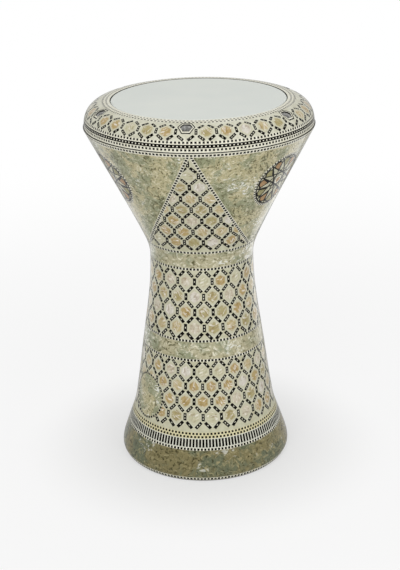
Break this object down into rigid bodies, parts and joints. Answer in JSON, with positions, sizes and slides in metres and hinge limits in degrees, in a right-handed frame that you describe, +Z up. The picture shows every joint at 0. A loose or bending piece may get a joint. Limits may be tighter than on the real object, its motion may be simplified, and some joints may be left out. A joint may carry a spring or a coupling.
{
  "type": "goblet drum",
  "caption": "Goblet drum with a mosaic-clad cast shell open at the foot, a film head held in a hoop, and a rounded cover ring that recessed bolts draw down to tune it.",
  "frame": {"origin": "on the floor, at the middle of the foot", "axes": "+Z up the drum's axis to the head; -Y is the front, where the first tuning bolt is"},
  "size_m": [0.2648, 0.2648, 0.44],
  "materials": {
    "cast_aluminium": "as cast, bead blasted",
    "bright_aluminium": "rolled, bright",
    "steel": "zinc plated",
    "dark_steel": "dark nickel",
    "black_rubber": "matt",
    "film": "smooth, cloudy white film",
    "shell_flake": "shell flakes under gloss resin",
    "pearl_mosaic": "pearl hexagons and black links under gloss resin",
    "dotted_strip": "cream stringing with black dots under gloss resin",
    "barred_inlay": "black and pale bars under gloss resin"
  },
  "bodies": {
    "shell": {"shell_casting": "cast_aluminium", "foot_ring": "black_rubber", "edge_strip": "dotted_strip", "foot_veneer": "shell_flake", "foot_strip": "dotted_strip", "barred_band": "barred_inlay", "double_strip": "dotted_strip", "lower_lattice": "pearl_mosaic", "waist_strip_low": "dotted_strip", "waist_veneer": "shell_flake", "waist_strip_high": "dotted_strip", "upper_lattice": "pearl_mosaic", "neck_strip_low": "dotted_strip", "neck_veneer": "shell_flake", "neck_strip_high": "dotted_strip", "bowl_veneer": "shell_flake", "rim_strip": "dotted_strip", "head_film": "film", "flesh_hoop": "bright_aluminium", "threaded_insert_1": "steel", "threaded_insert_2": "steel", "threaded_insert_3": "steel", "threaded_insert_4": "steel", "threaded_insert_5": "steel", "threaded_insert_6": "steel"},
    "ring": {"cover_ring": "cast_aluminium", "ring_inner_strip": "dotted_strip", "ring_lattice": "pearl_mosaic", "ring_side_strips": "dotted_strip", "bolt_well_1": "dark_steel", "bolt_well_2": "dark_steel", "bolt_well_3": "dark_steel", "bolt_well_4": "dark_steel", "bolt_well_5": "dark_steel", "bolt_well_6": "dark_steel", "washer_1": "steel", "washer_2": "steel", "washer_3": "steel", "washer_4": "steel", "washer_5": "steel", "washer_6": "steel"},
    "bolt_1": {"tuning_bolt_1": "steel"},
    "bolt_2": {"tuning_bolt_2": "steel"},
    "bolt_3": {"tuning_bolt_3": "steel"},
    "bolt_4": {"tuning_bolt_4": "steel"},
    "bolt_5": {"tuning_bolt_5": "steel"},
    "bolt_6": {"tuning_bolt_6": "steel"}
  },
  "joints": [
    {"name": "ring_lift", "type": "slide", "parent": "shell", "child": "ring", "axis": [0, 0, 1], "range_m": [0, 0.004]},
    {"name": "bolt_turn_1", "type": "hinge", "parent": "ring", "child": "bolt_1", "pos_m": [0, -0.1178, 0.42], "axis": [0, 0, 1], "range_deg": [0, 1440]},
    {"name": "bolt_turn_2", "type": "hinge", "parent": "ring", "child": "bolt_2", "pos_m": [0.10202, -0.0589, 0.42], "axis": [0, 0, 1], "range_deg": [0, 1440]},
    {"name": "bolt_turn_3", "type": "hinge", "parent": "ring", "child": "bolt_3", "pos_m": [0.10202, 0.0589, 0.42], "axis": [0, 0, 1], "range_deg": [0, 1440]},
    {"name": "bolt_turn_4", "type": "hinge", "parent": "ring", "child": "bolt_4", "pos_m": [0, 0.1178, 0.42], "axis": [0, 0, 1], "range_deg": [0, 1440]},
    {"name": "bolt_turn_5", "type": "hinge", "parent": "ring", "child": "bolt_5", "pos_m": [-0.10202, 0.0589, 0.42], "axis": [0, 0, 1], "range_deg": [0, 1440]},
    {"name": "bolt_turn_6", "type": "hinge", "parent": "ring", "child": "bolt_6", "pos_m": [-0.10202, -0.0589, 0.42], "axis": [0, 0, 1], "range_deg": [0, 1440]}
  ],
  "couplings": [
    {"joint": "bolt_turn_1", "follows": "ring_lift", "rad_per_m": 6283.2},
    {"joint": "bolt_turn_2", "follows": "ring_lift", "rad_per_m": 6283.2},
    {"joint": "bolt_turn_3", "follows": "ring_lift", "rad_per_m": 6283.2},
    {"joint": "bolt_turn_4", "follows": "ring_lift", "rad_per_m": 6283.2},
    {"joint": "bolt_turn_5", "follows": "ring_lift", "rad_per_m": 6283.2},
    {"joint": "bolt_turn_6", "follows": "ring_lift", "rad_per_m": 6283.2}
  ]
}
